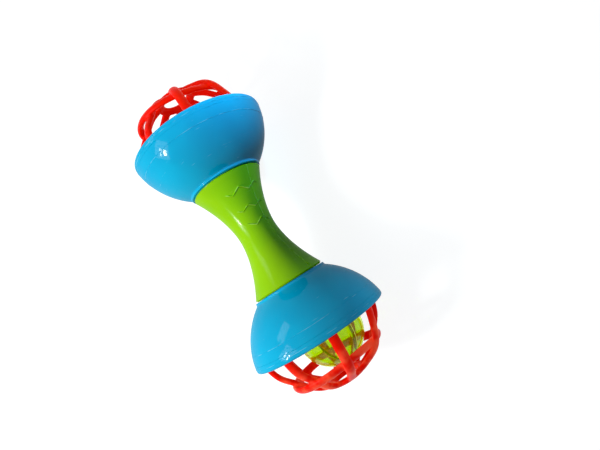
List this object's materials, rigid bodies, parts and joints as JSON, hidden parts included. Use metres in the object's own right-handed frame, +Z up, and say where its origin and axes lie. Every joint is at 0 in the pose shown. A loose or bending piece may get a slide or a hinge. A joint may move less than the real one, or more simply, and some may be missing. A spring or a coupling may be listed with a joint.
{
  "type": "dumbbell rattle",
  "caption": "Baby's dumbbell rattle: waisted grip between flared bowls, each holding a clear rattle ball of beads loose behind a domed rubber cage of woven ribs",
  "frame": {"origin": "Middle of the rattle, on the surface that its two rims rest on", "axes": "X along the rattle, Y across it, Z up as it lies on its rims"},
  "size_m": [0.1524, 0.0646, 0.0647],
  "materials": {
    "green_plastic": "gloss",
    "blue_plastic": "gloss",
    "red_rubber": "satin",
    "clear_tinted": "clear gloss",
    "dark_bead": "gloss"
  },
  "bodies": {
    "shell": {"handle_top_half": "green_plastic", "handle_bottom_half": "green_plastic", "bowl_right": "blue_plastic", "rim_ring_right": "blue_plastic", "cage_right": "red_rubber", "bowl_left": "blue_plastic", "rim_ring_left": "blue_plastic", "cage_left": "red_rubber"},
    "ball_right": {"ball_upper_half_right": "clear_tinted", "ball_lower_half_right": "clear_tinted"},
    "pellet_1_right": {"bead_1_right": "dark_bead"},
    "pellet_2_right": {"bead_2_right": "dark_bead"},
    "pellet_3_right": {"bead_3_right": "dark_bead"},
    "ball_left": {"ball_upper_half_left": "clear_tinted", "ball_lower_half_left": "clear_tinted"},
    "pellet_1_left": {"bead_1_left": "dark_bead"},
    "pellet_2_left": {"bead_2_left": "dark_bead"},
    "pellet_3_left": {"bead_3_left": "dark_bead"}
  },
  "joints": [
    {"name": "ball_slide_right", "type": "slide", "parent": "shell", "child": "ball_right", "axis": [-1, 0, 0], "range_m": [0, 0.0104]},
    {"name": "pellet_1_roll_right", "type": "hinge", "parent": "ball_right", "child": "pellet_1_right", "pos_m": [0.05567, 0.00184, 0.02631], "axis": [1, 0, 0], "continuous": true},
    {"name": "pellet_2_roll_right", "type": "hinge", "parent": "ball_right", "child": "pellet_2_right", "pos_m": [0.05567, 0.00184, 0.02631], "axis": [1, 0, 0], "continuous": true},
    {"name": "pellet_3_roll_right", "type": "hinge", "parent": "ball_right", "child": "pellet_3_right", "pos_m": [0.05567, 0.00184, 0.02631], "axis": [1, 0, 0], "continuous": true},
    {"name": "ball_slide_left", "type": "slide", "parent": "shell", "child": "ball_left", "axis": [-1, 0, 0], "range_m": [0, 0.0104]},
    {"name": "pellet_1_roll_left", "type": "hinge", "parent": "ball_left", "child": "pellet_1_left", "pos_m": [-0.0452, -0.00193, 0.02602], "axis": [1, 0, 0], "continuous": true},
    {"name": "pellet_2_roll_left", "type": "hinge", "parent": "ball_left", "child": "pellet_2_left", "pos_m": [-0.0452, -0.00193, 0.02602], "axis": [1, 0, 0], "continuous": true},
    {"name": "pellet_3_roll_left", "type": "hinge", "parent": "ball_left", "child": "pellet_3_left", "pos_m": [-0.0452, -0.00193, 0.02602], "axis": [1, 0, 0], "continuous": true}
  ]
}
